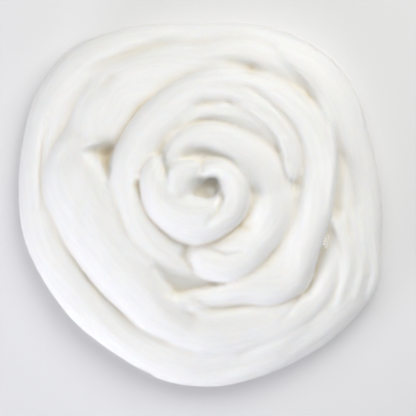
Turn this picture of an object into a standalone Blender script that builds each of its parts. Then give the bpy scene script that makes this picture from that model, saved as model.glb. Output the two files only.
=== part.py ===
"""Wool roving: one length of combed wool, wound flat into a loose rose.

Metres, +Z up. The rose lies on the plane z = 0 with its box centred on X and Y.
The strand starts in the eye, winds clockwise (seen from above) and outward, and
each lap leans on the next one out. The laps are pressed together, so the whole
winding is one closed body.
"""

import math
from collections import namedtuple

import bmesh
import bpy

MM = 0.001

# Driving dimensions, in millimetres. The eye is the point that the strand winds round.
EYE_X = 1.56
EYE_Y = 11.32
STRAND_DEPTH = 28.0  # combed strand, crown to underside
FOOT_SINK = 3.0  # how far the outer lap is pressed flat against the table
PRESS = 1.3  # how far a lap is pressed into its neighbour, past the line where they meet
ROUNDED_END = 0.6  # a lap's end rounds off over this share of its width
BLUNT_END = 0.3  # the size of the section that closes a lap's end, as a share

# How finely the laps are lofted, and how coarse the finished body is.
SECTION_SIDES = 24
STEP_ALONG = 4.0  # millimetres between sections, at most
MOUND_SIDES = 90
VOXEL = 2.0
SOFTEN_STEPS = 5
KEPT_FACES = 0.11

# The buried turns, pressed into one mound: a profile turned about an upright line that
# stands beside the eye.
MOUND_SHIFT_X = 2.0
MOUND_SHIFT_Y = -4.0
Step = namedtuple("Step", "radius height")
MOUND_PROFILE = (
    Step(0, 38.5),
    Step(12, 40),
    Step(20, 46),
    Step(28, 46),
    Step(36, 41),
    Step(50, 38),
    Step(64, 33),
    Step(78, 30),
    Step(90, 26),
    Step(96, 20),
    Step(102, 10),
    Step(103, 4),
    Step(103, 0),
    Step(0, 0),
)

# A row is one section of a lap: its bearing in degrees clockwise from +Y about the eye,
# the radii where it meets its neighbours (or its outline where it has none), and the
# height of its crown. Lean is how far the crown sits off the middle, outward, as a share
# of half the width.
Row = namedtuple("Row", "bearing inner outer crown lean", defaults=(0.0,))
Lap = namedtuple("Lap", "rows on_table", defaults=(False,))

# The outer lap, lying on the table all the way round.
OUTER_LAP = Lap((
    Row(150, 96, 118, 20),
    Row(165, 92, 125, 27),
    Row(180, 90, 128, 30),
    Row(195, 92, 127, 31),
    Row(210, 91, 123, 31),
    Row(225, 90, 122, 30),
    Row(240, 89, 121, 30),
    Row(255, 90, 122, 29),
    Row(270, 92, 121, 29),
    Row(285, 91, 122, 29),
    Row(300, 90, 126, 30),
    Row(315, 89, 126, 31),
    Row(330, 88, 118, 31),
    Row(345, 88, 111.5, 30),
    Row(360, 87, 108, 30),
    Row(375, 91, 111.5, 32),
    Row(390, 95, 116, 36, -0.3),
    Row(405, 94, 119, 40, -0.45),
    Row(420, 88, 117, 40, -0.4),
    Row(432, 88, 114, 37, -0.2),
    Row(444, 92, 115, 32),
    Row(455, 94, 118, 30),
    Row(466, 93, 122, 31),
    Row(480, 95, 131, 32),
    Row(495, 99, 131, 32),
    Row(510, 101, 129, 31),
    Row(525, 104, 130, 29),
    Row(538, 110, 131, 26),
    Row(549, 117, 130, 22),
    Row(557, 122, 128, 17),
), on_table=True)

# The fourth lap: broad up the left side, slack at the right.
FOURTH_LAP = Lap((
    Row(164, 87, 102, 29),
    Row(175, 82, 105, 34),
    Row(185, 78, 104, 38),
    Row(193, 73, 101.5, 41, -0.15),
    Row(202, 67, 99, 44.5, -0.3),
    Row(214, 60, 94, 46, -0.4),
    Row(225, 59, 92, 46, -0.45),
    Row(240, 60, 92.5, 46, -0.45),
    Row(255, 60, 95.5, 46, -0.45),
    Row(268, 61, 101, 45, -0.4),
    Row(276, 62.5, 102, 44, -0.3),
    Row(282, 66, 101, 42, -0.2),
    Row(286.5, 73, 99, 40),
    Row(289.5, 75, 98, 39),
    Row(293, 69, 97, 38),
    Row(298, 63, 97.5, 38),
    Row(305, 61.5, 100, 38),
    Row(312, 61, 101, 38),
    Row(319, 61, 103, 37),
    Row(332, 61, 99, 37),
    Row(345, 64, 96, 38),
    Row(358, 68, 93, 39),
    Row(371, 72, 97, 41),
    Row(384, 76, 101, 42),
    Row(393, 80, 100, 40),
    Row(402, 83, 96, 37),
    Row(411, 85, 95, 34),
    Row(422, 85, 96, 32),
    Row(440, 82, 98, 31),
    Row(458, 82, 100, 30),
    Row(470, 85, 103, 31),
    Row(478, 88, 106, 34),
    Row(488, 92, 110, 36),
    Row(496, 94, 112, 36),
    Row(506, 86, 111, 37),
    Row(520, 77, 109, 37.5),
    Row(534, 76, 108, 38.5),
    Row(545, 78.5, 107, 38),
    Row(554, 80, 105, 35),
    Row(561, 83, 103, 29),
))

# Three slack folds at the lower right, where the strand gathers as it turns.
FOLD_INNER = Lap((
    Row(96, 78, 84, 26),
    Row(103, 83, 91, 31),
    Row(110, 92, 101, 34.5),
    Row(117, 99, 109, 36),
    Row(124, 105, 114.5, 35.5),
    Row(131, 110, 119, 33),
    Row(137, 115, 119, 27),
))
FOLD_MIDDLE = Lap((
    Row(92, 90, 97, 25),
    Row(99, 93, 101, 29),
    Row(106, 98, 107, 32),
    Row(112, 104, 113, 33.5),
    Row(118, 110, 120, 34),
    Row(124, 115, 124, 32.5),
    Row(130, 119, 125, 28),
    Row(134, 121, 124, 23),
))
FOLD_OUTER = Lap((
    Row(92, 102, 109, 24),
    Row(99, 104, 112, 28),
    Row(106, 109, 118, 30),
    Row(112, 115, 124, 31),
    Row(118, 121, 129.5, 30),
    Row(124, 124, 131, 26),
    Row(128, 126, 130, 21),
))

# The third turn, split at the top into three strands side by side, as thick roving opens
# when it is bent round: the outer one carries on, and the two inner ones tuck under.
THIRD_LAP = Lap((
    Row(150, 44, 60, 28),
    Row(165, 43, 61, 31),
    Row(180, 39, 65, 37, -0.2),
    Row(193, 36, 68, 41, -0.4),
    Row(207, 35, 67, 45, -0.4),
    Row(225, 35, 65, 48, -0.3),
    Row(245, 35.5, 64, 48, -0.3),
    Row(262, 36, 63, 48, -0.2),
    Row(276, 36.5, 62, 48, -0.1),
    Row(290, 36, 61, 48),
    Row(305, 36, 61, 48),
    Row(320, 38, 63, 48),
    Row(335, 40, 66, 48),
    Row(347, 43, 70, 48),
    Row(357, 53, 74, 48),
    Row(367, 63, 77, 48),
    Row(380, 66, 80, 48),
    Row(395, 67, 84, 48),
    Row(410, 67, 88, 48),
    Row(425, 66, 90, 48),
    Row(440, 63, 87, 48, 0.15),
    Row(450, 61, 84, 48, 0.25),
    Row(460, 58, 83, 48, 0.3),
    Row(472, 57, 83, 47, 0.3),
    Row(482, 58, 85, 46, 0.3),
    Row(490, 60, 90, 45, 0.3),
    Row(498, 60, 92, 44, 0.2),
    Row(508, 60, 88, 44, 0.1),
    Row(520, 61, 81, 43),
    Row(533, 64.5, 79.5, 41.5),
    Row(544, 67, 78, 39.5),
    Row(552, 69, 77, 36),
    Row(559, 71, 76, 31),
))
MIDDLE_STRAND = Lap((
    Row(330, 46, 64, 40),
    Row(345, 50, 67, 46),
    Row(360, 54, 69, 48),
    Row(375, 56, 70, 48),
    Row(390, 58, 70, 48),
    Row(405, 58, 71, 47),
    Row(420, 54, 71, 47),
    Row(432, 51.5, 69, 46.5),
    Row(441, 52, 66, 44.5),
    Row(449, 54, 63, 40),
))
INNER_STRAND = Lap((
    Row(325, 36, 54, 40),
    Row(342, 38, 56, 45),
    Row(358, 40.5, 57, 47),
    Row(372, 40, 57, 48),
    Row(388, 40, 60, 48),
    Row(400, 41, 61, 48),
    Row(410, 44, 60, 47),
    Row(420, 47, 58, 45),
    Row(428, 49, 56, 41),
))

# The heart: the strand's beginning, rolled up round the eye and standing proud of the
# rest. The crescent lies over its top.
CRESCENT = Lap((
    Row(284, 22, 25, 46),
    Row(293, 22.5, 28, 50),
    Row(305, 23, 32, 52),
    Row(319, 23.5, 36, 53, -0.1),
    Row(335, 23.5, 39.5, 53, -0.1),
    Row(352, 23.5, 42, 53, -0.15),
    Row(370, 23, 43, 54, -0.15),
    Row(388, 23.5, 45, 54, -0.2),
    Row(403, 24.5, 48, 54, -0.3),
    Row(418, 26, 51.5, 54, -0.4),
    Row(432, 28.5, 54, 53, -0.4),
    Row(444, 30.5, 54.5, 52, -0.35),
    Row(454, 32.5, 54.5, 50, -0.2),
    Row(464, 35, 53.5, 47),
    Row(472, 38, 51, 42),
))

# The petal down the right side of the heart and under it.
LOWER_PETAL = Lap((
    Row(58, 40, 50, 40),
    Row(68, 36, 54, 44.5),
    Row(80, 33, 55, 47),
    Row(90, 31.5, 56, 48.5),
    Row(100, 31.5, 59, 49.5),
    Row(112, 32, 61, 50),
    Row(124, 34, 60, 49.5, 0.1),
    Row(135, 34, 59, 48.5, 0.2),
    Row(147, 33, 61, 48, 0.25),
    Row(160, 33, 62, 47.5, 0.25),
    Row(172, 34, 60, 46, 0.2),
    Row(183, 35, 58, 44),
    Row(192, 38, 54, 40),
    Row(200, 41, 49, 34),
))

# The knot's band: from above the eye, round the right and the bottom, to a tip at the left.
KNOT_BAND = Lap((
    Row(318, 3, 15, 44),
    Row(334, 3, 16.5, 49),
    Row(350, 3, 17, 52),
    Row(364, 4, 17.5, 54),
    Row(380, 6, 19, 56),
    Row(400, 9.5, 21.5, 58),
    Row(418, 11.5, 24, 58, 0.1),
    Row(436, 11, 27, 58, 0.15),
    Row(450, 10.5, 28.5, 58, 0.15),
    Row(480, 10.5, 31, 58, 0.1),
    Row(505, 9.5, 32, 58, -0.05),
    Row(525, 9, 33, 58, -0.2),
    Row(545, 8.5, 35, 58, -0.3),
    Row(570, 9, 36.5, 58, -0.3),
    Row(592, 10.5, 37.5, 58, -0.15),
    Row(608, 13, 38.5, 58),
    Row(624, 18, 39, 58),
    Row(640, 24, 39.5, 57.5),
    Row(652, 28, 39, 56),
    Row(661, 31, 38.5, 53),
    Row(668, 33.5, 37.5, 48),
))

# The petal that drops into the eye from its upper left side.
FIRST_PETAL = Lap((
    Row(224, 9.5, 15, 50),
    Row(236, 8.5, 18, 55, 0.2),
    Row(250, 7, 21, 57.5, 0.4),
    Row(264, 6, 23, 58.5, 0.5),
    Row(280, 5.5, 23, 58.5, 0.5),
    Row(296, 5, 22.5, 58.5, 0.5),
    Row(312, 4.5, 21.5, 58.5, 0.5),
    Row(326, 5, 19.5, 58.5, 0.4),
    Row(339, 6, 18.5, 58.5, 0.2),
    Row(350, 8.5, 18, 57.5),
    Row(358, 11.5, 17, 55.5),
))

# All the laps; only the outer one reaches down to the table.
LAPS = (
    OUTER_LAP,
    FOURTH_LAP,
    FOLD_INNER,
    FOLD_MIDDLE,
    FOLD_OUTER,
    THIRD_LAP,
    MIDDLE_STRAND,
    INNER_STRAND,
    CRESCENT,
    LOWER_PETAL,
    KNOT_BAND,
    FIRST_PETAL,
)

WOOL_COLOUR = (0.90, 0.89, 0.87, 1.0)
WOOL_ROUGHNESS = 0.95


def clear_scene():
    """Removes every object in the scene."""
    for obj in list(bpy.data.objects):
        bpy.data.objects.remove(obj, do_unlink=True)


def wool_material():
    """Undyed combed wool: matt and nearly white."""
    material = bpy.data.materials.new("undyed wool")
    material.use_nodes = True
    shader = material.node_tree.nodes["Principled BSDF"]
    shader.inputs["Base Color"].default_value = WOOL_COLOUR
    shader.inputs["Roughness"].default_value = WOOL_ROUGHNESS
    shader.inputs["Metallic"].default_value = 0.0
    return material


def section_at(rows, bearing):
    """The lap's section at a bearing, on a smooth curve through its rows."""
    index = 0
    while index < len(rows) - 2 and bearing > rows[index + 1].bearing:
        index += 1
    first, last = rows[index], rows[index + 1]
    before, after = rows[max(index - 1, 0)], rows[min(index + 2, len(rows) - 1)]
    turn = last.bearing - first.bearing
    t = (bearing - first.bearing) / turn
    values = []
    for z, a, b, c in zip(before, first, last, after):
        start = (b - z) / (last.bearing - before.bearing)
        end = (c - a) / (after.bearing - first.bearing)
        values.append(
            (2 * t**3 - 3 * t**2 + 1) * a
            + (t**3 - 2 * t**2 + t) * turn * start
            + (3 * t**2 - 2 * t**3) * b
            + (t**3 - t**2) * turn * end
        )
    return Row(bearing, *values[1:])


def length_of(lap):
    """Roughly how long the lap is, along its middle."""
    first, last = lap.rows[0], lap.rows[-1]
    radius = sum(row.inner + row.outer for row in lap.rows) / len(lap.rows) / 2
    return math.radians(last.bearing - first.bearing) * radius


def section_points(lap, u):
    """The closed outline of the lap's section, at the share u along it, in metres."""
    first, last = lap.rows[0].bearing, lap.rows[-1].bearing
    section = section_at(lap.rows, first + (last - first) * u)
    inner = section.inner - PRESS
    outer = section.outer if lap.on_table else section.outer + PRESS
    width = outer - inner
    depth = section.crown + FOOT_SINK if lap.on_table else STRAND_DEPTH
    from_end = min(u, 1 - u) * length_of(lap) / (width * ROUNDED_END)
    swell = max(math.sqrt(1 - (1 - min(from_end, 1.0)) ** 2), BLUNT_END)
    bearing = math.radians(section.bearing)
    points = []
    for side in range(SECTION_SIDES):
        angle = 2 * math.pi * side / SECTION_SIDES
        across = math.cos(angle) + section.lean * math.sin(angle)
        radius = (inner + outer) / 2 + width / 2 * swell * across
        height = section.crown - depth / 2 + depth / 2 * swell * math.sin(angle)
        x = EYE_X + radius * math.sin(bearing)
        y = EYE_Y + radius * math.cos(bearing)
        points.append((x * MM, y * MM, height * MM))
    return points


def add_lap(mesh, lap):
    """Lofts one lap through its sections and closes both ends."""
    steps = math.ceil(length_of(lap) / STEP_ALONG)
    rings = []
    for step in range(steps + 1):
        rings.append([mesh.verts.new(point) for point in section_points(lap, step / steps)])
    for ring, following in zip(rings, rings[1:]):
        for side in range(SECTION_SIDES):
            beside = (side + 1) % SECTION_SIDES
            mesh.faces.new((ring[side], ring[beside], following[beside], following[side]))
    mesh.faces.new(reversed(rings[0]))
    mesh.faces.new(rings[-1])


def add_mound(mesh):
    """Turns the profile of the buried turns about their own upright line."""
    line = [mesh.verts.new((step.radius * MM, 0, step.height * MM)) for step in MOUND_PROFILE]
    edges = [mesh.edges.new(pair) for pair in zip(line, line[1:])]
    bmesh.ops.spin(
        mesh,
        geom=line + edges,
        axis=(0, 0, 1),
        cent=(0, 0, 0),
        angle=2 * math.pi,
        steps=MOUND_SIDES,
        use_merge=True,
    )
    bmesh.ops.remove_doubles(mesh, verts=mesh.verts, dist=0.01 * MM)
    x = (EYE_X + MOUND_SHIFT_X) * MM
    y = (EYE_Y + MOUND_SHIFT_Y) * MM
    bmesh.ops.translate(mesh, verts=mesh.verts, vec=(x, y, 0))


def wound_body(collection):
    """All the laps and the mound, fused into one body."""
    mesh = bmesh.new()
    add_mound(mesh)
    for lap in LAPS:
        add_lap(mesh, lap)
    bmesh.ops.recalc_face_normals(mesh, faces=mesh.faces)
    data = bpy.data.meshes.new("roving")
    mesh.to_mesh(data)
    mesh.free()
    body = bpy.data.objects.new("roving", data)
    collection.objects.link(body)
    body.data.materials.append(wool_material())

    fuse = body.modifiers.new("fuse laps", "REMESH")
    fuse.mode = "VOXEL"
    fuse.voxel_size = VOXEL * MM
    soften = body.modifiers.new("soften", "SMOOTH")
    soften.factor = 0.5
    soften.iterations = SOFTEN_STEPS
    thin_out = body.modifiers.new("thin out", "DECIMATE")
    thin_out.ratio = KEPT_FACES
    return body


def table_cutter(collection):
    """Everything below the table plane, which the roving is flattened against."""
    mesh = bmesh.new()
    bmesh.ops.create_cube(mesh, size=1.0)
    bmesh.ops.scale(mesh, vec=(0.4, 0.4, 0.1), verts=mesh.verts)
    bmesh.ops.translate(mesh, vec=(0.0, 0.0, -0.05), verts=mesh.verts)
    data = bpy.data.meshes.new("table")
    mesh.to_mesh(data)
    mesh.free()
    cutter = bpy.data.objects.new("table", data)
    collection.objects.link(cutter)
    cutter.hide_render = True
    cutter.display_type = "WIRE"
    return cutter


def main():
    clear_scene()
    parts = bpy.data.collections.new("wool roving")
    cutters = bpy.data.collections.new("cutters")
    bpy.context.scene.collection.children.link(parts)
    bpy.context.scene.collection.children.link(cutters)
    body = wound_body(parts)
    flatten = body.modifiers.new("flatten on the table", "BOOLEAN")
    flatten.operation = "DIFFERENCE"
    flatten.solver = "EXACT"
    flatten.object = table_cutter(cutters)


main()
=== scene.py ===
"""Wool roving wound flat into a loose rose: its combed laps, its fuzz, and a soft studio."""

import math
import random
from collections import namedtuple

import bmesh
import bpy
import numpy as np
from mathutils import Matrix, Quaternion, Vector, noise
from mathutils.bvhtree import BVHTree


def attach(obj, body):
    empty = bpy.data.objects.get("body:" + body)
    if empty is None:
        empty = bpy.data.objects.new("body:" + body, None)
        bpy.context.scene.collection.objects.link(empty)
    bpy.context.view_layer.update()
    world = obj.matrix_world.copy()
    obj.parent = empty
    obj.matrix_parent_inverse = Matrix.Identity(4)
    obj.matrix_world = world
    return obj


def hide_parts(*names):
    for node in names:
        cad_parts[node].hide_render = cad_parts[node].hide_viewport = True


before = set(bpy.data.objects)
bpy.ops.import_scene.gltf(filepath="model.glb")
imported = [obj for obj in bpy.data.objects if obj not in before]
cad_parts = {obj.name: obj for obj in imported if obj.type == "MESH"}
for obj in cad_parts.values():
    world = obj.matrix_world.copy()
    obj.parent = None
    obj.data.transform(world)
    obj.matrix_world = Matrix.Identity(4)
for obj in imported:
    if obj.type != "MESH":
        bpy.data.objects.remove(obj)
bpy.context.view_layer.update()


# The wound roving: one length of undyed wool, combed so that its fibres run side by side
# and drawn into a thick soft strand with no twist. It is wound by hand from the eye
# outward, and only the grip of its own fibres holds it.

MM = 0.001
eye = np.array((1.56, 11.32))  # the point that the strand winds round, in millimetres
strand_depth = 28.0  # crown to underside
foot_sink = 3.0  # how much of the outer lap's depth the table presses flat
press = 1.3  # how far a lap is pressed into its neighbour, past the line where they meet

# Bearing in degrees clockwise from +Y about the eye; the rest in millimetres. Inner and
# outer are where the lap meets its neighbours, or the outline where it has none. Lean is
# how far the crown sits off the middle, outward, as a share of half the width.
Row = namedtuple("Row", "bearing inner outer crown lean", defaults=(0.0,))
Lap = namedtuple("Lap", "name rows on_table", defaults=(False,))

outer_lap = Lap("outer lap", (
    Row(150, 96, 118, 20),
    Row(165, 92, 125, 27),
    Row(180, 90, 128, 30),
    Row(195, 92, 127, 31),
    Row(210, 91, 123, 31),
    Row(225, 90, 122, 30),
    Row(240, 89, 121, 30),
    Row(255, 90, 122, 29),
    Row(270, 92, 121, 29),
    Row(285, 91, 122, 29),
    Row(300, 90, 126, 30),
    Row(315, 89, 126, 31),
    Row(330, 88, 118, 31),
    Row(345, 88, 111.5, 30),
    Row(360, 87, 108, 30),
    Row(375, 91, 111.5, 32),
    Row(390, 95, 116, 36, -0.3),
    Row(405, 94, 119, 40, -0.45),
    Row(420, 88, 117, 40, -0.4),
    Row(432, 88, 114, 37, -0.2),
    Row(444, 92, 115, 32),
    Row(455, 94, 118, 30),
    Row(466, 93, 122, 31),
    Row(480, 95, 131, 32),
    Row(495, 99, 131, 32),
    Row(510, 101, 129, 31),
    Row(525, 104, 130, 29),
    Row(538, 110, 131, 26),
    Row(549, 117, 130, 22),
    Row(557, 122, 128, 17),
), on_table=True)
fourth_lap = Lap("fourth lap", (
    Row(164, 87, 102, 29),
    Row(175, 82, 105, 34),
    Row(185, 78, 104, 38),
    Row(193, 73, 101.5, 41, -0.15),
    Row(202, 67, 99, 44.5, -0.3),
    Row(214, 60, 94, 46, -0.4),
    Row(225, 59, 92, 46, -0.45),
    Row(240, 60, 92.5, 46, -0.45),
    Row(255, 60, 95.5, 46, -0.45),
    Row(268, 61, 101, 45, -0.4),
    Row(276, 62.5, 102, 44, -0.3),
    Row(282, 66, 101, 42, -0.2),
    Row(286.5, 73, 99, 40),
    Row(289.5, 75, 98, 39),
    Row(293, 69, 97, 38),
    Row(298, 63, 97.5, 38),
    Row(305, 61.5, 100, 38),
    Row(312, 61, 101, 38),
    Row(319, 61, 103, 37),
    Row(332, 61, 99, 37),
    Row(345, 64, 96, 38),
    Row(358, 68, 93, 39),
    Row(371, 72, 97, 41),
    Row(384, 76, 101, 42),
    Row(393, 80, 100, 40),
    Row(402, 83, 96, 37),
    Row(411, 85, 95, 34),
    Row(422, 85, 96, 32),
    Row(440, 82, 98, 31),
    Row(458, 82, 100, 30),
    Row(470, 85, 103, 31),
    Row(478, 88, 106, 34),
    Row(488, 92, 110, 36),
    Row(496, 94, 112, 36),
    Row(506, 86, 111, 37),
    Row(520, 77, 109, 37.5),
    Row(534, 76, 108, 38.5),
    Row(545, 78.5, 107, 38),
    Row(554, 80, 105, 35),
    Row(561, 83, 103, 29),
))

# Three slack folds at the lower right, where the strand gathers as it turns.
fold_inner = Lap("inner fold", (
    Row(96, 78, 84, 26),
    Row(103, 83, 91, 31),
    Row(110, 92, 101, 34.5),
    Row(117, 99, 109, 36),
    Row(124, 105, 114.5, 35.5),
    Row(131, 110, 119, 33),
    Row(137, 115, 119, 27),
))
fold_middle = Lap("middle fold", (
    Row(92, 90, 97, 25),
    Row(99, 93, 101, 29),
    Row(106, 98, 107, 32),
    Row(112, 104, 113, 33.5),
    Row(118, 110, 120, 34),
    Row(124, 115, 124, 32.5),
    Row(130, 119, 125, 28),
    Row(134, 121, 124, 23),
))
fold_outer = Lap("outer fold", (
    Row(92, 102, 109, 24),
    Row(99, 104, 112, 28),
    Row(106, 109, 118, 30),
    Row(112, 115, 124, 31),
    Row(118, 121, 129.5, 30),
    Row(124, 124, 131, 26),
    Row(128, 126, 130, 21),
))


# The third turn, split at the top into three strands side by side, as thick roving opens
# when it is bent round: the outer one carries on, and the two inner ones tuck under.
third_lap = Lap("third lap", (
    Row(150, 44, 60, 28),
    Row(165, 43, 61, 31),
    Row(180, 39, 65, 37, -0.2),
    Row(193, 36, 68, 41, -0.4),
    Row(207, 35, 67, 45, -0.4),
    Row(225, 35, 65, 48, -0.3),
    Row(245, 35.5, 64, 48, -0.3),
    Row(262, 36, 63, 48, -0.2),
    Row(276, 36.5, 62, 48, -0.1),
    Row(290, 36, 61, 48),
    Row(305, 36, 61, 48),
    Row(320, 38, 63, 48),
    Row(335, 40, 66, 48),
    Row(347, 43, 70, 48),
    Row(357, 53, 74, 48),
    Row(367, 63, 77, 48),
    Row(380, 66, 80, 48),
    Row(395, 67, 84, 48),
    Row(410, 67, 88, 48),
    Row(425, 66, 90, 48),
    Row(440, 63, 87, 48, 0.15),
    Row(450, 61, 84, 48, 0.25),
    Row(460, 58, 83, 48, 0.3),
    Row(472, 57, 83, 47, 0.3),
    Row(482, 58, 85, 46, 0.3),
    Row(490, 60, 90, 45, 0.3),
    Row(498, 60, 92, 44, 0.2),
    Row(508, 60, 88, 44, 0.1),
    Row(520, 61, 81, 43),
    Row(533, 64.5, 79.5, 41.5),
    Row(544, 67, 78, 39.5),
    Row(552, 69, 77, 36),
    Row(559, 71, 76, 31),
))
middle_strand = Lap("middle strand", (
    Row(330, 46, 64, 40),
    Row(345, 50, 67, 46),
    Row(360, 54, 69, 48),
    Row(375, 56, 70, 48),
    Row(390, 58, 70, 48),
    Row(405, 58, 71, 47),
    Row(420, 54, 71, 47),
    Row(432, 51.5, 69, 46.5),
    Row(441, 52, 66, 44.5),
    Row(449, 54, 63, 40),
))
inner_strand = Lap("inner strand", (
    Row(325, 36, 54, 40),
    Row(342, 38, 56, 45),
    Row(358, 40.5, 57, 47),
    Row(372, 40, 57, 48),
    Row(388, 40, 60, 48),
    Row(400, 41, 61, 48),
    Row(410, 44, 60, 47),
    Row(420, 47, 58, 45),
    Row(428, 49, 56, 41),
))

# The heart: the strand's beginning, rolled up round the eye and standing proud of the
# rest, with the crescent over its top and the petal down its right side and under it.
crescent = Lap("crescent", (
    Row(284, 22, 25, 46),
    Row(293, 22.5, 28, 50),
    Row(305, 23, 32, 52),
    Row(319, 23.5, 36, 53, -0.1),
    Row(335, 23.5, 39.5, 53, -0.1),
    Row(352, 23.5, 42, 53, -0.15),
    Row(370, 23, 43, 54, -0.15),
    Row(388, 23.5, 45, 54, -0.2),
    Row(403, 24.5, 48, 54, -0.3),
    Row(418, 26, 51.5, 54, -0.4),
    Row(432, 28.5, 54, 53, -0.4),
    Row(444, 30.5, 54.5, 52, -0.35),
    Row(454, 32.5, 54.5, 50, -0.2),
    Row(464, 35, 53.5, 47),
    Row(472, 38, 51, 42),
))
lower_petal = Lap("lower petal", (
    Row(58, 40, 50, 40),
    Row(68, 36, 54, 44.5),
    Row(80, 33, 55, 47),
    Row(90, 31.5, 56, 48.5),
    Row(100, 31.5, 59, 49.5),
    Row(112, 32, 61, 50),
    Row(124, 34, 60, 49.5, 0.1),
    Row(135, 34, 59, 48.5, 0.2),
    Row(147, 33, 61, 48, 0.25),
    Row(160, 33, 62, 47.5, 0.25),
    Row(172, 34, 60, 46, 0.2),
    Row(183, 35, 58, 44),
    Row(192, 38, 54, 40),
    Row(200, 41, 49, 34),
))
knot_band = Lap("knot band", (
    Row(318, 3, 15, 44),
    Row(334, 3, 16.5, 49),
    Row(350, 3, 17, 52),
    Row(364, 4, 17.5, 54),
    Row(380, 6, 19, 56),
    Row(400, 9.5, 21.5, 58),
    Row(418, 11.5, 24, 58, 0.1),
    Row(436, 11, 27, 58, 0.15),
    Row(450, 10.5, 28.5, 58, 0.15),
    Row(480, 10.5, 31, 58, 0.1),
    Row(505, 9.5, 32, 58, -0.05),
    Row(525, 9, 33, 58, -0.2),
    Row(545, 8.5, 35, 58, -0.3),
    Row(570, 9, 36.5, 58, -0.3),
    Row(592, 10.5, 37.5, 58, -0.15),
    Row(608, 13, 38.5, 58),
    Row(624, 18, 39, 58),
    Row(640, 24, 39.5, 57.5),
    Row(652, 28, 39, 56),
    Row(661, 31, 38.5, 53),
    Row(668, 33.5, 37.5, 48),
))
first_petal = Lap("first petal", (
    Row(224, 9.5, 15, 50),
    Row(236, 8.5, 18, 55, 0.2),
    Row(250, 7, 21, 57.5, 0.4),
    Row(264, 6, 23, 58.5, 0.5),
    Row(280, 5.5, 23, 58.5, 0.5),
    Row(296, 5, 22.5, 58.5, 0.5),
    Row(312, 4.5, 21.5, 58.5, 0.5),
    Row(326, 5, 19.5, 58.5, 0.4),
    Row(339, 6, 18.5, 58.5, 0.2),
    Row(350, 8.5, 18, 57.5),
    Row(358, 11.5, 17, 55.5),
))
laps = (
    outer_lap,
    fourth_lap,
    fold_inner,
    fold_middle,
    fold_outer,
    third_lap,
    middle_strand,
    inner_strand,
    crescent,
    lower_petal,
    knot_band,
    first_petal,
)

# The mound of buried turns that the laps lie on: a profile turned about a line that
# stands this far off the eye.
mound_offset = np.array((2.0, -4.0))
Step = namedtuple("Step", "radius height")
mound_profile = (
    Step(0, 38.5),
    Step(12, 40),
    Step(20, 46),
    Step(28, 46),
    Step(36, 41),
    Step(50, 38),
    Step(64, 33),
    Step(78, 30),
    Step(90, 26),
    Step(96, 20),
    Step(102, 10),
    Step(103, 4),
    Step(103, 0),
    Step(0, 0),
)

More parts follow.
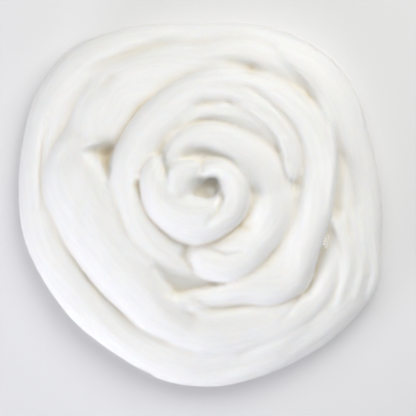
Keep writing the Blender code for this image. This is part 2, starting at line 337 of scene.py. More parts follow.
# Soft troughs and, where the depth is negative, ridges of loose wool: places right of and
# above the eye, and half the width and the depth of each, all in millimetres.
Trough = namedtuple("Trough", "x y width depth")
troughs = (
    # the valley along the broad left side
    (
        Trough(-70, 16, 4, 0.5), Trough(-76, -2, 5, 1.2), Trough(-78, -22, 5, 1.2),
        Trough(-80, -42, 4, 0.5),
    ),
    # the fold above the broad left side, which runs in towards the dark gap
    (
        Trough(-87, 20, 4, 0.4), Trough(-77, 23, 3, 0.8), Trough(-68, 24, 3, 1.4),
        Trough(-60, 24, 3, 1.6),
    ),
    # the dark gap at the left, and the crease that runs up from it
    (
        Trough(-58, 25, 3.5, 3), Trough(-63, 21, 4, 8.5), Trough(-62.5, 14, 2.8, 7),
        Trough(-62, 7, 2, 2),
    ),
    (
        Trough(-78, 26, 3, -1), Trough(-72, 27, 3.5, -3), Trough(-66, 25, 3, -1),
    ),
    (
        Trough(-54, 30, 2.5, 3), Trough(-46, 43, 2.5, 2.5), Trough(-40, 52, 2.5, 2.5),
        Trough(-31, 59, 2, 0.6),
    ),
    # streaks at the upper left
    (
        Trough(-75, 78, 3, 0.5), Trough(-64, 82.5, 4, 2), Trough(-53, 86, 4.5, 3),
        Trough(-40, 90, 4.5, 3), Trough(-29, 93.5, 4, 2.6), Trough(-18, 95.5, 3, 0.8),
    ),
    (
        Trough(-68, 59, 3, 0.5), Trough(-64, 67, 3.5, 2.4), Trough(-58.5, 72.5, 3.5, 2.4),
        Trough(-53, 76.5, 3, 0.5),
    ),
    # the valley behind the top lobe
    (
        Trough(0, 83, 3, 0.8), Trough(14, 82, 3, 1.6), Trough(24, 79, 3, 2.4),
        Trough(31, 76, 3.5, 4.6), Trough(38, 74, 2.5, 1),
    ),
    # the notch where the top lobe dives under the outer lap
    (
        Trough(59, 77, 4, 0.6), Trough(65, 67, 5, 1.6), Trough(70, 57, 5, 2),
        Trough(75, 49, 3, 0.6),
    ),
    # the thin second band inside the outer lap's left side
    (
        Trough(-100, 46, 2, 1), Trough(-105, 24, 2, 2.4), Trough(-106, 4, 2, 2),
        Trough(-104, -14, 2, 0.8),
    ),
    # the long crease between the last two turns at the lower left
    (
        Trough(-99, -11, 2, 0.3), Trough(-91, -26, 2.5, 0.5), Trough(-83, -43.5, 3, 1.2),
        Trough(-74.5, -55, 3.5, 2), Trough(-66.5, -63.5, 3.5, 2.2),
        Trough(-59, -71.5, 3.5, 2.4), Trough(-52.5, -79, 3.5, 2), Trough(-44.5, -88, 3, 0.6),
    ),
    # along the bottom the last two turns lie together with hardly a crease
    (
        Trough(1, -106, 6, -1.5), Trough(21, -108, 7, -3), Trough(38, -104, 7, -3),
        Trough(50, -98, 6, -3), Trough(62, -90, 5, -2), Trough(72, -81, 4, -0.5),
    ),
    # soft slanting streaks at the bottom
    (
        Trough(44, -110, 3, 0.6), Trough(24, -116, 3, 1.4), Trough(6, -123, 3, 0.6),
    ),
    # the dark crease inside the slack folds, and the thin one that runs on from it
    (
        Trough(80, -28, 1.8, 1), Trough(77, -39, 2, 1.5), Trough(73, -48, 2, 1.5),
        Trough(70, -57, 3.5, 4), Trough(67, -65, 3.5, 3.5), Trough(60, -70, 2.5, 1.8),
        Trough(52, -74.5, 2, 0.6),
    ),
    (
        Trough(61, -72, 2, 1.6), Trough(56, -80, 2, 1.2), Trough(50, -87, 2, 0.4),
    ),
    # the dimple at the top, where the inner strand parts from the rest
    (
        Trough(-3, 51, 3, 1.5), Trough(2, 53, 3, 2.5), Trough(7, 53, 3, 1.5),
    ),
    # a soft streak along the outermost of the three strands
    (
        Trough(8, 70, 2, 0.5), Trough(24, 67.5, 2, 1.2), Trough(40, 61, 2, 1.2),
        Trough(52.5, 52, 2, 0.5),
    ),
    # the flat hollow down the right side
    (
        Trough(70, 34, 6, 1), Trough(72, 18, 7, 2.6), Trough(73, 3, 7, 1.6),
    ),
    # loose wool down the outside of the crescent, to where the inner strands tuck under
    (
        Trough(48, 28, 2.5, -1.5), Trough(51, 22, 3, -2.5), Trough(53, 15, 3, -4),
        Trough(56.5, 6, 3, -4), Trough(58.5, -4, 3, -2),
    ),
    # the slit below the heart
    (
        Trough(-22, -68, 1.8, 0.8), Trough(-14, -67.5, 2, 1.2), Trough(-4, -65, 2, 0.8),
        Trough(7, -62, 1.8, 0.5),
    ),
    # the crease round the outside of the crescent
    (
        Trough(-22, 22, 1.8, 0.8), Trough(-19, 31, 1.8, 1.2), Trough(-12, 38, 1.8, 1.5),
        Trough(-3, 42, 2.2, 2.5), Trough(6, 43, 2, 1.8), Trough(21, 39, 1.6, 0.5),
        Trough(35, 34, 1.6, 0.5),
    ),
    # the crease round the left of the knot
    (
        Trough(-40.5, 7, 1.5, 0.5), Trough(-42, 1, 2.4, 3.8), Trough(-39.5, -8, 1.6, 1),
        Trough(-34, -21, 1.6, 0.6),
    ),
    # the crease between the band's tip and the first petal, which closes lower down
    (
        Trough(-25, 16, 1.6, 0.4), Trough(-23.4, 11, 1.5, 1.2), Trough(-22.1, 5, 1.5, 1.2),
        Trough(-21.4, -0.5, 1.5, 0.4),
    ),
    # the edge of the first petal, over the start of the band
    (
        Trough(0, 17.5, 1.4, 0.8), Trough(-1.6, 12.2, 1.6, 1.4), Trough(-3.6, 7.2, 1.6, 1),
    ),
    # the fading crease between the band and the bulge below the eye
    (
        Trough(10.5, -2, 2, 0.5), Trough(12, -7, 2.2, 3), Trough(9.5, -15, 2.2, 3.6),
        Trough(3.5, -23, 2.5, 1.2),
    ),
    # the crease round the foot of the knot, and the two shaded facets under its right side
    (
        Trough(27, 7.3, 1.5, 0.4), Trough(30.2, 0, 1.6, 0.8), Trough(31.4, -8.4, 1.6, 0.8),
        Trough(29.2, -16.8, 2.2, 2.5), Trough(23.8, -23.8, 2.4, 4.5),
        Trough(16.9, -29.2, 2.4, 4), Trough(9.2, -34.4, 2.4, 2.8), Trough(0, -36.8, 2.4, 1.8),
        Trough(-9.6, -36.2, 3, 2), Trough(-19.2, -33.3, 3, 1.6), Trough(-27.2, -27.2, 2.4, 1.5),
        Trough(-33, -20, 1.8, 0.6),
    ),
    (
        Trough(-33, -27, 5, 0.6), Trough(-25, -35, 6, 1.4), Trough(-14, -41, 6, 1.4),
        Trough(-4, -43, 5, 0.4),
    ),
    (
        Trough(24, -25, 2.5, 1), Trough(28.5, -26.5, 3, 2.2), Trough(31, -23, 2.5, 1),
    ),
    (
        Trough(3, -39.5, 2, 1), Trough(14, -43, 2.4, 2), Trough(25, -41, 2, 1),
    ),
    # the shade beside the rounded left end of the lower petal
    (
        Trough(-11, -38, 2.5, 1), Trough(-12.5, -45, 3, 2.4), Trough(-8.5, -51, 3, 2),
    ),
    # the sagging lower edge of the third lap's tail
    (
        Trough(-7, -74.5, 3.5, 1.6), Trough(5, -76, 4.5, 3.4), Trough(18, -76, 4.5, 3.4),
        Trough(30, -74, 4, 1.4),
    ),
    # loose wool in the crease at the knot's upper right
    (
        Trough(10, 24, 2.5, -0.5), Trough(20, 18, 2.5, -1.5), Trough(27, 9, 2.5, -1),
        Trough(31, 0, 2.5, -0.5),
    ),
    # the softened upper rim of the eye, and its floor
    (
        Trough(-5, 7, 2, -0.5), Trough(3, 8, 2.5, -2), Trough(9, 4, 2.5, -1.5),
    ),
    (
        Trough(-6, -2, 2.5, 0.8), Trough(1, -4.5, 2.5, 1), Trough(6, -2.5, 3, -1.5),
        Trough(9, -1, 2, -0.5),
    ),
    # the low grey stretch of the fourth lap at the right
    (
        Trough(88, 26, 4, 0.5), Trough(89, 10, 5, 1.5), Trough(89, -2, 5, 3),
        Trough(88, -13, 4.5, 3), Trough(86, -22, 3, 0.5),
    ),
    # loose wool between the inner strands
    (
        Trough(20, 54.5, 2.5, -1), Trough(32, 49.5, 3, -3), Trough(43, 40.5, 3, -4),
        Trough(50, 30, 3, -4), Trough(54, 20, 2.5, -2),
    ),
    # the lip of the fourth lap over the broad left side
    (
        Trough(-61, 6, 2.5, -0.4), Trough(-61, -3, 3, -1.6), Trough(-57.5, -18, 3, -2),
        Trough(-52, -30, 3, -2), Trough(-44, -40, 3, -2), Trough(-34, -48.5, 3, -1.5),
    ),
    # loose wool below the heart, under the lip of the fourth lap, and at the upper right
    (
        Trough(-34, -50, 4, -0.5), Trough(-27, -56, 5, -0.8), Trough(-20, -61, 4, -1),
        Trough(-12, -63, 3, -0.5),
    ),
    (
        Trough(-22, -71, 3, -1.5), Trough(-14, -75, 3.5, -4), Trough(-6, -78, 3.5, -6),
        Trough(6, -81, 4, -2), Trough(26, -80, 4, -1.5), Trough(42, -77, 3, -0.5),
    ),
    (
        Trough(50, 88, 3.5, -1.5), Trough(57, 79, 4, -3.5), Trough(64, 69, 4, -3),
        Trough(69, 60, 3, -1),
    ),
    # the slack folds lie close together too
    (
        Trough(82, -20, 2, -0.5), Trough(85, -27, 2.2, -1.6), Trough(87, -35, 2.2, -0.8),
    ),
    (
        Trough(90.5, -21, 2, -0.8), Trough(95.5, -34.5, 2.5, -1.8),
        Trough(97, -49.5, 2.5, -1.8), Trough(95.5, -64, 2.5, -1),
    ),
    (
        Trough(101, -16, 2, -0.8), Trough(104, -30, 2.5, -1.6), Trough(105.5, -42.5, 2.5, -1.6),
        Trough(106, -56, 2.5, -1),
    ),
    # the last two turns and the third lie close together down the right side
    (
        Trough(66, 68, 3, -0.5), Trough(72, 58, 3, -2), Trough(82, 42, 3, -3),
        Trough(85, 22, 3, -3), Trough(83, 0, 3, -2), Trough(80, -16, 3, -1),
    ),
)


def section_at(rows, bearing):
    """The lap's section at a bearing, on a smooth curve through its rows."""
    index = 0
    while index < len(rows) - 2 and bearing > rows[index + 1].bearing:
        index += 1
    first, last = rows[index], rows[index + 1]
    before, after = rows[max(index - 1, 0)], rows[min(index + 2, len(rows) - 1)]
    turn = last.bearing - first.bearing
    t = (bearing - first.bearing) / turn
    values = []
    for z, a, b, c in zip(before, first, last, after):
        start = (b - z) / (last.bearing - before.bearing)
        end = (c - a) / (after.bearing - first.bearing)
        values.append(
            (2 * t**3 - 3 * t**2 + 1) * a
            + (t**3 - 2 * t**2 + t) * turn * start
            + (3 * t**2 - 2 * t**3) * b
            + (t**3 - t**2) * turn * end
        )
    return Row(bearing, *values[1:])


def depth_of(lap, crown):
    """How deep the strand is, crown to underside, before the table flattens it."""
    return crown + foot_sink if lap.on_table else strand_depth


def edges_of(lap, section):
    """The inner and outer radius of the strand itself, which is pressed into its neighbours."""
    outer = section.outer if lap.on_table else section.outer + press
    return section.inner - press, outer


def length_of(lap):
    """How long the lap is, along its middle."""
    first, last = lap.rows[0], lap.rows[-1]
    radius = sum(row.inner + row.outer for row in lap.rows) / len(lap.rows) / 2
    return math.radians(last.bearing - first.bearing) * radius


end_rounding = 0.6  # the share of its width in which a lap rounds off at either end


def lap_point(lap, u, angle):
    """A point on the lap, in millimetres: the share u along it, and the angle round it."""
    first, last = lap.rows[0].bearing, lap.rows[-1].bearing
    section = section_at(lap.rows, first + (last - first) * u)
    inner, outer = edges_of(lap, section)
    width = outer - inner
    depth = depth_of(lap, section.crown)
    from_end = min(u, 1 - u) * length_of(lap) / (width * end_rounding)
    swell = math.sqrt(max(1 - (1 - min(from_end, 1.0)) ** 2, 0.0))
    across = math.cos(angle) + section.lean * math.sin(angle)
    radius = (inner + outer) / 2 + width / 2 * swell * across
    height = section.crown - depth / 2 + depth / 2 * swell * math.sin(angle)
    bearing = math.radians(section.bearing)
    x = eye[0] + radius * math.sin(bearing)
    y = eye[1] + radius * math.cos(bearing)
    return Vector((x, y, max(height, 0.0)))


loft_step = 2.0  # millimetres between a lap's sections
loft_sides = 44
mound_sides = 180
weld = 0.00002  # metres within which points are merged


def loft(mesh, lap):
    """Adds one lap to the mesh: a grid rolled round the strand and closed at its ends."""
    steps = int(length_of(lap) / loft_step)
    grid = bmesh.ops.create_grid(mesh, x_segments=steps, y_segments=loft_sides, size=0.5)
    for vert in grid["verts"]:
        u = min(max(vert.co.x + 0.5, 0.0), 1.0)
        vert.co = lap_point(lap, u, 2 * math.pi * (vert.co.y + 0.5)) * MM
    bmesh.ops.remove_doubles(mesh, verts=grid["verts"], dist=weld)


def mound(mesh):
    """Adds the buried turns to the mesh: their profile, turned about a line beside the eye."""
    ring = [
        mesh.verts.new((step.radius * MM, 0, step.height * MM)) for step in mound_profile
    ]
    line = [mesh.edges.new(pair) for pair in zip(ring, ring[1:])]
    bmesh.ops.spin(
        mesh,
        geom=ring + line,
        axis=(0, 0, 1),
        cent=(0, 0, 0),
        angle=2 * math.pi,
        steps=mound_sides,
        use_merge=True,
    )
    bmesh.ops.remove_doubles(mesh, verts=mesh.verts, dist=weld)
    x, y = (eye + mound_offset) * MM
    bmesh.ops.translate(mesh, verts=mesh.verts, vec=(x, y, 0))


voxel = 1.26  # the fineness of the skin, in millimetres


def fused_skin():
    """The skin that the mound and all the laps share, fused where they press together."""
    mesh = bmesh.new()
    mound(mesh)
    for lap in laps:
        loft(mesh, lap)
    bmesh.ops.recalc_face_normals(mesh, faces=mesh.faces)
    data = bpy.data.meshes.new("lofts")
    mesh.to_mesh(data)
    mesh.free()
    lofts = bpy.data.objects.new("lofts", data)
    bpy.context.scene.collection.objects.link(lofts)
    fuse = lofts.modifiers.new("fuse", "REMESH")
    fuse.mode = "VOXEL"
    fuse.voxel_size = voxel * MM
    fused = lofts.evaluated_get(bpy.context.evaluated_depsgraph_get())
    skin = bpy.data.meshes.new_from_object(fused)
    bpy.data.objects.remove(lofts)
    skin.name = "wound_roving"
    return skin


def points_of(skin):
    """The places of the skin's vertices, in millimetres."""
    points = np.empty(len(skin.vertices) * 3)
    skin.vertices.foreach_get("co", points)
    return points.reshape(-1, 3) / MM


def place(skin, points):
    """Moves the skin's vertices, none of them below the table."""
    points[:, 2] = points[:, 2].clip(0, None)
    skin.vertices.foreach_set("co", (points * MM).ravel())
    skin.update()


def facing_of(skin):
    """Which way the skin faces at each of its vertices."""
    facing = np.empty(len(skin.vertices) * 3)
    skin.vertex_normals.foreach_get("vector", facing)
    return facing.reshape(-1, 3)


def eased(skin, points, rounds):
    """The points drawn towards their neighbours, which rounds off every crease and edge."""
    edges = np.empty(len(skin.edges) * 2, int)
    skin.edges.foreach_get("vertices", edges)
    starts, ends = edges[::2], edges[1::2]
    count = len(points)
    neighbours = np.bincount(edges, minlength=count)[:, None]
    for _ in range(rounds):
        sums = np.column_stack([
            np.bincount(starts, axis[ends], count) + np.bincount(ends, axis[starts], count)
            for axis in points.T
        ])
        points = (points + sums / neighbours) / 2
    return points


bearing_step = 0.5  # degrees between the sections that places are worked out from
run_spacing = 900  # millimetres that set the laps apart in the run, so that none repeats
end_falloff = 0.3  # how fast a lap's claim on a point fades, for each degree past its end
out_of_reach = 99.0


def strand_places(points, owner=None):
    """Where points lie on the strand that holds them: its number, run, girth and margin.

    The number stands for one turn of one lap. The run is how far along the strand the
    point is, and the girth how far round it. The margin is how much nearer the point is
    to that strand than to the next. With owner, the numbers are given, point by point.
    """
    x, y = points[:, 0] - eye[0], points[:, 1] - eye[1]
    radius = np.hypot(x, y)
    compass = np.degrees(np.arctan2(x, y)) % 360
    count = len(points)
    best, second = np.full(count, out_of_reach), np.full(count, out_of_reach)
    number = np.zeros(count, int)
    run, girth = np.zeros(count), np.zeros(count)
    option = 0
    for place_in_order, lap in enumerate(laps):
        first, last = lap.rows[0].bearing, lap.rows[-1].bearing
        bearings = np.arange(first, last + bearing_step, bearing_step)
        sections = [section_at(lap.rows, bearing) for bearing in bearings]
        edges = np.array([edges_of(lap, section) for section in sections])
        crowns = [section.crown for section in sections]
        leans = [section.lean for section in sections]
        middles = edges.mean(axis=1)
        runs = np.cumsum(middles) * math.radians(bearing_step)
        offset = place_in_order * run_spacing
        for turns in (0, 360):
            bearing = compass + turns
            middle = np.interp(bearing, bearings, middles)
            half_width = np.interp(bearing, bearings, (edges[:, 1] - edges[:, 0]) / 2)
            crown = np.interp(bearing, bearings, crowns)
            half_depth = depth_of(lap, crown) / 2 * np.ones(count)
            up = (points[:, 2] - crown + half_depth) / half_depth
            lean = np.interp(bearing, bearings, leans)
            across = (radius - middle) / half_width - lean * up
            off_end = np.maximum(first - bearing, bearing - last).clip(0)
            reach = np.hypot(across, up) + off_end * end_falloff
            option += 1
            chosen = reach < best if owner is None else owner == option
            second = np.where(chosen, best, np.minimum(second, reach))
            best = np.where(chosen, reach, best)
            number = np.where(chosen, option, number)
            around = (np.arctan2(up, across) + math.pi / 2) % (2 * math.pi)
            run = np.where(chosen, np.interp(bearing, bearings, runs) + offset, run)
            girth = np.where(chosen, around * (half_width + half_depth) / 2, girth)
    return number, run, girth, (second - best).clip(0, 1)


def pressed_in(points):
    """How deep the troughs press the wool in at each point, in millimetres."""
    total = np.zeros(len(points))
    places = points[:, :2] - eye
    for trough in troughs:
        deepest = np.zeros(len(points))
        for start, end in zip(trough, trough[1:]):
            origin = np.array((start.x, start.y))
            step = np.array((end.x, end.y)) - origin
            share = ((places - origin) @ step / (step @ step)).clip(0, 1)
            away = np.linalg.norm(places - origin - share[:, None] * step, axis=1)
            width = start.width + (end.width - start.width) * share
            depth = start.depth + (end.depth - start.depth) * share
            pressed = depth * np.exp(-((away / width) ** 2))
            deepest = np.where(np.abs(pressed) > np.abs(deepest), pressed, deepest)
        total += deepest
    return total


# The locks of fibre: how long and how wide they are and how far they stand proud, and the
# slow sway that keeps them from running dead straight, all in millimetres.
Lock = namedtuple("Lock", "length width relief")
sway_lock = Lock(55, 40, 1.6)
broad_lock = Lock(70, 9, 0.55)
narrow_lock = Lock(45, 3.6, 0.28)


def locks(run, girth):
    """The relief of the locks of fibre, in millimetres, which run along the strand."""
    def waves(lock, shift, layer):
        place = Vector((run / lock.length, girth / lock.width + shift, layer))
        return lock.relief * noise.noise(place)

    sway = waves(sway_lock, 0, 1)
    return waves(broad_lock, sway, 2) + waves(narrow_lock, sway * 2, 3)


map_scale = 10  # millimetres of wool to one unit of the map


def map_of_strand(skin):
    """Lays the run and the girth of the strand on the skin, face by face, as a UV map."""
    corners = np.empty(len(skin.loops), int)
    skin.loops.foreach_get("vertex_index", corners)
    sides = np.empty(len(skin.polygons), int)
    skin.polygons.foreach_get("loop_total", sides)
    centres = np.empty(len(skin.polygons) * 3)
    skin.polygons.foreach_get("center", centres)
    owner = strand_places(centres.reshape(-1, 3) / MM)[0]
    _, run, girth, _ = strand_places(points_of(skin)[corners], np.repeat(owner, sides))
    strand_map = skin.uv_layers.new(name="strand")
    places = np.column_stack((run / map_scale, girth / map_scale))
    strand_map.data.foreach_set("uv", places.ravel())


table_gap = 0.0002  # metres above the table within which a face counts as lying on it


def clear_underside(skin):
    """Makes one face of the flat underside, which lies on the table."""
    mesh = bmesh.new()
    mesh.from_mesh(skin)
    flat = [
        face for face in mesh.faces if max(vert.co.z for vert in face.verts) < table_gap
    ]
    bmesh.ops.dissolve_faces(mesh, faces=flat, use_verts=True)
    mesh.to_mesh(skin)
    mesh.free()


softening = 7  # rounds of easing, for the way loose wool fills its own creases
# Painted shade: the easing that gives the wool's surroundings, and the depth below them at
# which the warm, dark shade painted into the creases is full.
surroundings = 122  # rounds of easing that leave only the lie of the wool round about
shade_full_depth = 5.0  # how far below its surroundings the wool in the deepest creases lies
clear_of_crease = 0.25  # the margin below which the relief of the locks fades out
steep = 0.5  # the upward part of the normal below which troughs fade out


def wound_roving():
    """The piece itself: the fused laps, eased, with locks and troughs laid on, and a mask of
    where painted shade goes in its creases.
    """
    skin = fused_skin()
    place(skin, eased(skin, points_of(skin), softening))
    points = points_of(skin)
    facing = facing_of(skin)
    _, run, girth, margin = strand_places(points)
    relief = np.array([locks(a, b) for a, b in zip(run, girth)])
    relief *= (margin / clear_of_crease).clip(0, 1)
    points += facing * relief[:, None]
    points[:, 2] -= pressed_in(points) * (facing[:, 2] / steep).clip(0, 1)
    place(skin, points)
    # Painted shade: how far each point lies below its surroundings, a mask for the warm, dark
    # colour painted into the creases.
    painted_shade_mask = (eased(skin, points, surroundings)[:, 2] - points[:, 2]) / shade_full_depth
    painted_shade_masks = skin.attributes.new("painted_shade_mask", "FLOAT", "POINT")
    painted_shade_masks.data.foreach_set("value", painted_shade_mask.clip(0, 1))
    map_of_strand(skin)
    clear_underside(skin)
    skin.polygons.foreach_set("use_smooth", np.ones(len(skin.polygons), bool))
    piece = bpy.data.objects.new("wound_roving", skin)
    bpy.context.scene.collection.objects.link(piece)
    return piece


def combed_fibre_group():
    """Streaks of combed fibre along the strand: a colour and a height that vary across it, with
    painted shade mixed into the colour where the wool lies deep in a crease.
    """
    group = bpy.data.node_groups.new("combed fibre", "ShaderNodeTree")
    for name in ("Bright", "Shade", "Painted crease shade"):
        group.interface.new_socket(name, in_out="INPUT", socket_type="NodeSocketColor")
    group.interface.new_socket("Colour", in_out="OUTPUT", socket_type="NodeSocketColor")
    group.interface.new_socket("Height", in_out="OUTPUT", socket_type="NodeSocketFloat")
    nodes, links = group.nodes, group.links
    given = nodes.new("NodeGroupInput")
    made = nodes.new("NodeGroupOutput")
    strand_map = nodes.new("ShaderNodeUVMap")
    strand_map.uv_map = "strand"

    def streaks(along_scale, across_scale, detail):
        stretch = nodes.new("ShaderNodeMapping")
        stretch.inputs["Scale"].default_value = (along_scale, across_scale, 1)
        texture = nodes.new("ShaderNodeTexNoise")
        texture.inputs["Scale"].default_value = 1.0
        texture.inputs["Detail"].default_value = detail
        texture.inputs["Roughness"].default_value = 0.6
        texture.inputs["Distortion"].default_value = 0.25
        links.new(strand_map.outputs["UV"], stretch.inputs["Vector"])
        links.new(stretch.outputs["Vector"], texture.inputs["Vector"])
        return texture.outputs["Fac"]

    broad = streaks(along_scale=0.25, across_scale=3.0, detail=3)
    fine = streaks(along_scale=0.9, across_scale=22.0, detail=4)
    blend = nodes.new("ShaderNodeMath")
    blend.operation = "MULTIPLY_ADD"
    blend.inputs[1].default_value = 0.5
    links.new(fine, blend.inputs[0])
    half = nodes.new("ShaderNodeMath")
    half.operation = "MULTIPLY"
    half.inputs[1].default_value = 0.5
    links.new(broad, half.inputs[0])
    links.new(half.outputs[0], blend.inputs[2])
    spread = nodes.new("ShaderNodeMapRange")
    spread.inputs["From Min"].default_value = 0.36
    spread.inputs["From Max"].default_value = 0.64
    links.new(blend.outputs[0], spread.inputs["Value"])
    mix = nodes.new("ShaderNodeMix")
    mix.data_type = "RGBA"
    links.new(spread.outputs["Result"], mix.inputs["Factor"])
    links.new(given.outputs["Shade"], mix.inputs["A"])
    links.new(given.outputs["Bright"], mix.inputs["B"])
    # Painted shade: the colour turns to the warm, dark crease colour where the mask says the
    # wool lies below its surroundings.
    painted_shade_mask = nodes.new("ShaderNodeAttribute")
    painted_shade_mask.attribute_name = "painted_shade_mask"
    crease_shaded = nodes.new("ShaderNodeMix")
    crease_shaded.data_type = "RGBA"
    links.new(painted_shade_mask.outputs["Fac"], crease_shaded.inputs["Factor"])
    links.new(mix.outputs["Result"], crease_shaded.inputs["A"])
    links.new(given.outputs["Painted crease shade"], crease_shaded.inputs["B"])
    links.new(crease_shaded.outputs["Result"], made.inputs["Colour"])
    links.new(blend.outputs[0], made.inputs["Height"])
    return group


combed_fibre = combed_fibre_group()


def wool(name, bright, shade, crease_shade):
    """Undyed wool: nearly white, matt, with a soft sheen, light that spreads within it, and
    painted shade, warm and dark, in its creases.
    """
    material = bpy.data.materials.new(name)
    material.use_nodes = True
    nodes, links = material.node_tree.nodes, material.node_tree.links
    shader = nodes["Principled BSDF"]
    shader.inputs["Roughness"].default_value = 0.9
    shader.inputs["Specular IOR Level"].default_value = 0.1
    shader.inputs["Sheen Weight"].default_value = 0.3
    shader.inputs["Sheen Roughness"].default_value = 0.5
    shader.inputs["Subsurface Weight"].default_value = 0.6
    shader.inputs["Subsurface Radius"].default_value = (1.0, 0.85, 0.65)
    shader.inputs["Subsurface Scale"].default_value = 0.006
    fibres = nodes.new("ShaderNodeGroup")
    fibres.node_tree = combed_fibre
    fibres.inputs["Bright"].default_value = (*bright, 1)
    fibres.inputs["Shade"].default_value = (*shade, 1)
    fibres.inputs["Painted crease shade"].default_value = (*crease_shade, 1)
    bump = nodes.new("ShaderNodeBump")
    bump.inputs["Strength"].default_value = 0.6
    bump.inputs["Distance"].default_value = 0.0006
    links.new(fibres.outputs["Colour"], shader.inputs["Base Color"])
    links.new(fibres.outputs["Height"], bump.inputs["Height"])
    links.new(bump.outputs["Normal"], shader.inputs["Normal"])
    return material


fleece_white = wool(
    "fleece white",
    bright=(0.92, 0.918, 0.903),
    shade=(0.872, 0.868, 0.847),
    # The crease colour is painted shade: warm and dark, for the light that the creases hold
    # back.
    crease_shade=(0.8, 0.722, 0.575),
)


def finish(piece, material):
    """Gives a piece its wool, and hands it over in place of the plain roving."""
    piece.data.materials.append(material)
    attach(piece, "root")
    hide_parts("roving")


roving = wound_roving()
finish(roving, fleece_white)


# Loose fibres: single hairs that lie along the strand and lift off it at their ends, as
# combing leaves them. Two sets, one over the top and one round the outline, where they
# soften the edge. Each hair is a thin tapered tube of four sides.

fibre_radius = 0.04  # millimetres
fibre_steps = 5
fibre_tip = 0.15  # the tip's thickness, as a share of the root's
fibre_root = 0.1  # millimetres that the root is sunk in the wool
fibre_slant = 0.3  # radians that hairs stray from the run of the strand, one way or other
fibre_bend = 0.22  # radians that a hair turns at each step
usual_lift, lift_spread = 0.4, 0.5  # shares of the set's full lift
tip_lift_power = 1.6  # hairs lift off late along their length
lowest_root = 4.0  # millimetres above the table
# Steepest and flattest bound the upward part of the normal where hairs may root; shortest,
# longest and lift are in millimetres.
Fuzz = namedtuple("Fuzz", "name count steepest flattest shortest longest lift seed")


def fibre(tree, start, fuzz, chance):
    """The points of one hair, in metres: rooted in the wool, running along the strand."""
    place, facing, _, _ = tree.find_nearest(start)
    along = Vector((place.y - eye[1] * MM, eye[0] * MM - place.x, 0)).normalized()
    along.rotate(Quaternion(facing, chance.gauss(0, fibre_slant)))
    bend = chance.gauss(0, fibre_bend)
    stride = chance.uniform(fuzz.shortest, fuzz.longest) * MM / fibre_steps
    lift = abs(chance.gauss(usual_lift, lift_spread)) * fuzz.lift * MM
    points = []
    for step in range(fibre_steps + 1):
        share = step / fibre_steps
        sunk = fibre_root * MM * (1 - share)
        points.append(place + facing * (lift * share**tip_lift_power - sunk))
        points[-1].z = max(points[-1].z, fibre_radius * MM)
        place, facing, _, _ = tree.find_nearest(place + along * stride)
        along.rotate(Quaternion(facing, bend))
        along = (along - facing * along.dot(facing)).normalized()
    return points


def tube_curve(name, radius, resolution):
    """An empty curve whose lines become closed tubes."""
    curve = bpy.data.curves.new(name, "CURVE")
    curve.dimensions = "3D"
    curve.bevel_depth = radius
    curve.bevel_resolution = resolution
    curve.use_fill_caps = True
    return curve


def piece_from(curve):
    """The curve's tubes as a piece of the same name, made into a mesh."""
    tubes = bpy.data.objects.new("tubes", curve)
    bpy.context.scene.collection.objects.link(tubes)
    shaped = tubes.evaluated_get(bpy.context.evaluated_depsgraph_get())
    made = bpy.data.meshes.new_from_object(shaped)
    bpy.data.objects.remove(tubes)
    piece = bpy.data.objects.new(curve.name, made)
    bpy.context.scene.collection.objects.link(piece)
    return piece


def loose_fibres(fuzz, skin, tree):
    """One set of hairs, as one mesh, rooted on the faces that face up as the set asks."""
    chance = random.Random(fuzz.seed)
    roots = [
        face.center.copy()
        for face in skin.polygons
        if fuzz.steepest < face.normal.z < fuzz.flattest
        and face.center.z > lowest_root * MM
    ]
    curve = tube_curve(fuzz.name, fibre_radius * MM, 0)
    for _ in range(fuzz.count):
        line = curve.splines.new("POLY")
        line.points.add(fibre_steps)
        places = fibre(tree, chance.choice(roots), fuzz, chance)
        for index, place in enumerate(places):
            line.points[index].co = (*place, 1)
            line.points[index].radius = 1 - (1 - fibre_tip) * index / fibre_steps
    return piece_from(curve)


def hair(name, pale, dull):
    """Single hairs of wool, paler and duller by turns along their length."""
    material = bpy.data.materials.new(name)
    material.use_nodes = True
    nodes, links = material.node_tree.nodes, material.node_tree.links
    shader = nodes["Principled BSDF"]
    place = nodes.new("ShaderNodeTexCoord")
    patches = nodes.new("ShaderNodeTexNoise")
    patches.inputs["Scale"].default_value = 250  # patches about 4 mm long
    mix = nodes.new("ShaderNodeMix")
    mix.data_type = "RGBA"
    mix.inputs["A"].default_value = (*dull, 1)
    mix.inputs["B"].default_value = (*pale, 1)
    links.new(place.outputs["Object"], patches.inputs["Vector"])
    links.new(patches.outputs["Fac"], mix.inputs["Factor"])
    links.new(mix.outputs["Result"], shader.inputs["Base Color"])
    shader.inputs["Roughness"].default_value = 0.6
    shader.inputs["Specular IOR Level"].default_value = 0.3
    return material


tree = BVHTree.FromPolygons(
    [vert.co for vert in roving.data.vertices],
    [face.vertices for face in roving.data.polygons],
)
wool_hair = hair("wool hair", (0.98, 0.97, 0.945), (0.88, 0.87, 0.835))
for fuzz in (
    Fuzz("fibres_over_top", 4200, 0.25, 1.0, 8, 26, 0.7, 3),
    Fuzz("fibres_round_outline", 4200, -0.6, 0.45, 6, 20, 1.6, 5),
):
    finish(loose_fibres(fuzz, roving.data, tree), wool_hair)


# A nep: a small knot of the same fibre that combing missed, curled up on itself. It lies
# across the dark crease at the right, inside the slack folds, and clings to the wool.

nep_top, nep_bottom = Vector((79.8, -31.5, 0)), Vector((78.4, -38.0, 0))
nep_loops = 3.5
nep_steps = 60
nep_curl = Vector((1.4, 0.7, 0))  # half the width and height of a loop, in millimetres
nep_thickness = 0.35  # half of it, in millimetres
above_all = 100  # millimetres up, from where the wool below a place is looked for


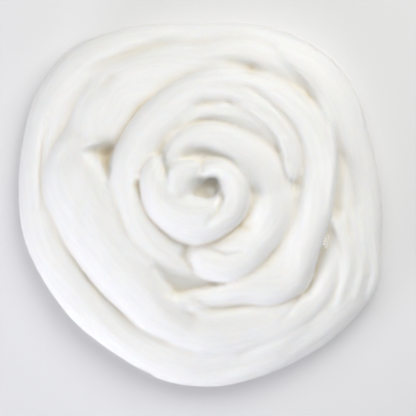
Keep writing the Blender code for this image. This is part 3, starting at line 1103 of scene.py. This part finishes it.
def nep():
    """A curled thread that lies level on the highest wool below it."""
    places = []
    for step in range(nep_steps):
        share = step / (nep_steps - 1)
        turn = 2 * math.pi * nep_loops * share
        curled = nep_curl * Vector((math.sin(turn), math.cos(turn), 0))
        place = nep_top.lerp(nep_bottom, share) + curled
        places.append((place + Vector((*eye, above_all))) * MM)
    heights = [tree.ray_cast(place, Vector((0, 0, -1)))[0].z for place in places]
    curve = tube_curve("nep", nep_thickness * MM, 1)
    line = curve.splines.new("POLY")
    line.points.add(nep_steps - 1)
    for place, point in zip(places, line.points):
        point.co = (place.x, place.y, max(heights) + nep_thickness * MM, 1)
    return piece_from(curve)


finish(nep(), wool_hair)


# The studio: a pale floor, two soft windows behind and to the right, and two low cool
# lights in front and to the left that catch the flanks of the laps.

floor_reach = 3.0  # metres from the middle to each edge


def stage_floor():
    """The pale card that the wool lies on, which isn't part of it."""
    mesh = bmesh.new()
    bmesh.ops.create_grid(mesh, x_segments=1, y_segments=1, size=floor_reach)
    data = bpy.data.meshes.new("floor")
    mesh.to_mesh(data)
    mesh.free()
    floor = bpy.data.objects.new("floor", data)
    bpy.context.scene.collection.objects.link(floor)
    material = bpy.data.materials.new("pale card")
    material.use_nodes = True
    shader = material.node_tree.nodes["Principled BSDF"]
    shader.inputs["Base Color"].default_value = (0.81, 0.807, 0.81, 1)
    shader.inputs["Roughness"].default_value = 0.8
    shader.inputs["Specular IOR Level"].default_value = 0.2
    data.materials.append(material)


def soft_light(name, place, width, height, power, colour):
    """An oval lamp that points at the middle of the roving: metres and watts."""
    lamp = bpy.data.lights.new(name, "AREA")
    lamp.shape = "ELLIPSE"
    lamp.size = width
    lamp.size_y = height
    lamp.energy = power
    lamp.color = colour
    light = bpy.data.objects.new(name, lamp)
    light.location = place
    light.rotation_euler = (-Vector(place)).to_track_quat("-Z", "Y").to_euler()
    bpy.context.scene.collection.objects.link(light)


daylight = (1.0, 1.0, 0.985)
cool_light = (0.905, 0.912, 1.0)
stage_floor()
soft_light("window, right", (0.37, 0.37, 0.77), 0.8, 0.8, 4.8, daylight)
soft_light("window, behind", (0.0, 0.55, 0.75), 0.8, 0.8, 3.2, daylight)
soft_light("low cool fill, left", (-0.70, -0.61, 0.27), 0.7, 0.3, 6.0, cool_light)
soft_light("low cool fill, front", (0.0, -0.92, 0.26), 0.7, 0.3, 2.2, cool_light)

world = bpy.data.worlds.new("studio")
world.use_nodes = True
backdrop = world.node_tree.nodes["Background"]
backdrop.inputs["Color"].default_value = (0.95, 0.97, 1.0, 1)
backdrop.inputs["Strength"].default_value = 0.11
bpy.context.scene.world = world
bpy.context.scene.view_settings.view_transform = "Standard"


# The camera: a long lens that looks straight down, as in the photograph, with +Y at the
# top of the frame.

frame_width = 0.2735  # metres that the frame spans at the laps' widest height
aim = Vector((0.0049, -0.0019, 0.014))  # the middle of the frame at that height
lens = bpy.data.cameras.new("camera")
lens.lens = 150
lens.sensor_width = 36
camera = bpy.data.objects.new("camera", lens)
camera.location = aim + Vector((0, 0, frame_width * lens.lens / lens.sensor_width))
bpy.context.scene.collection.objects.link(camera)
bpy.context.scene.camera = camera
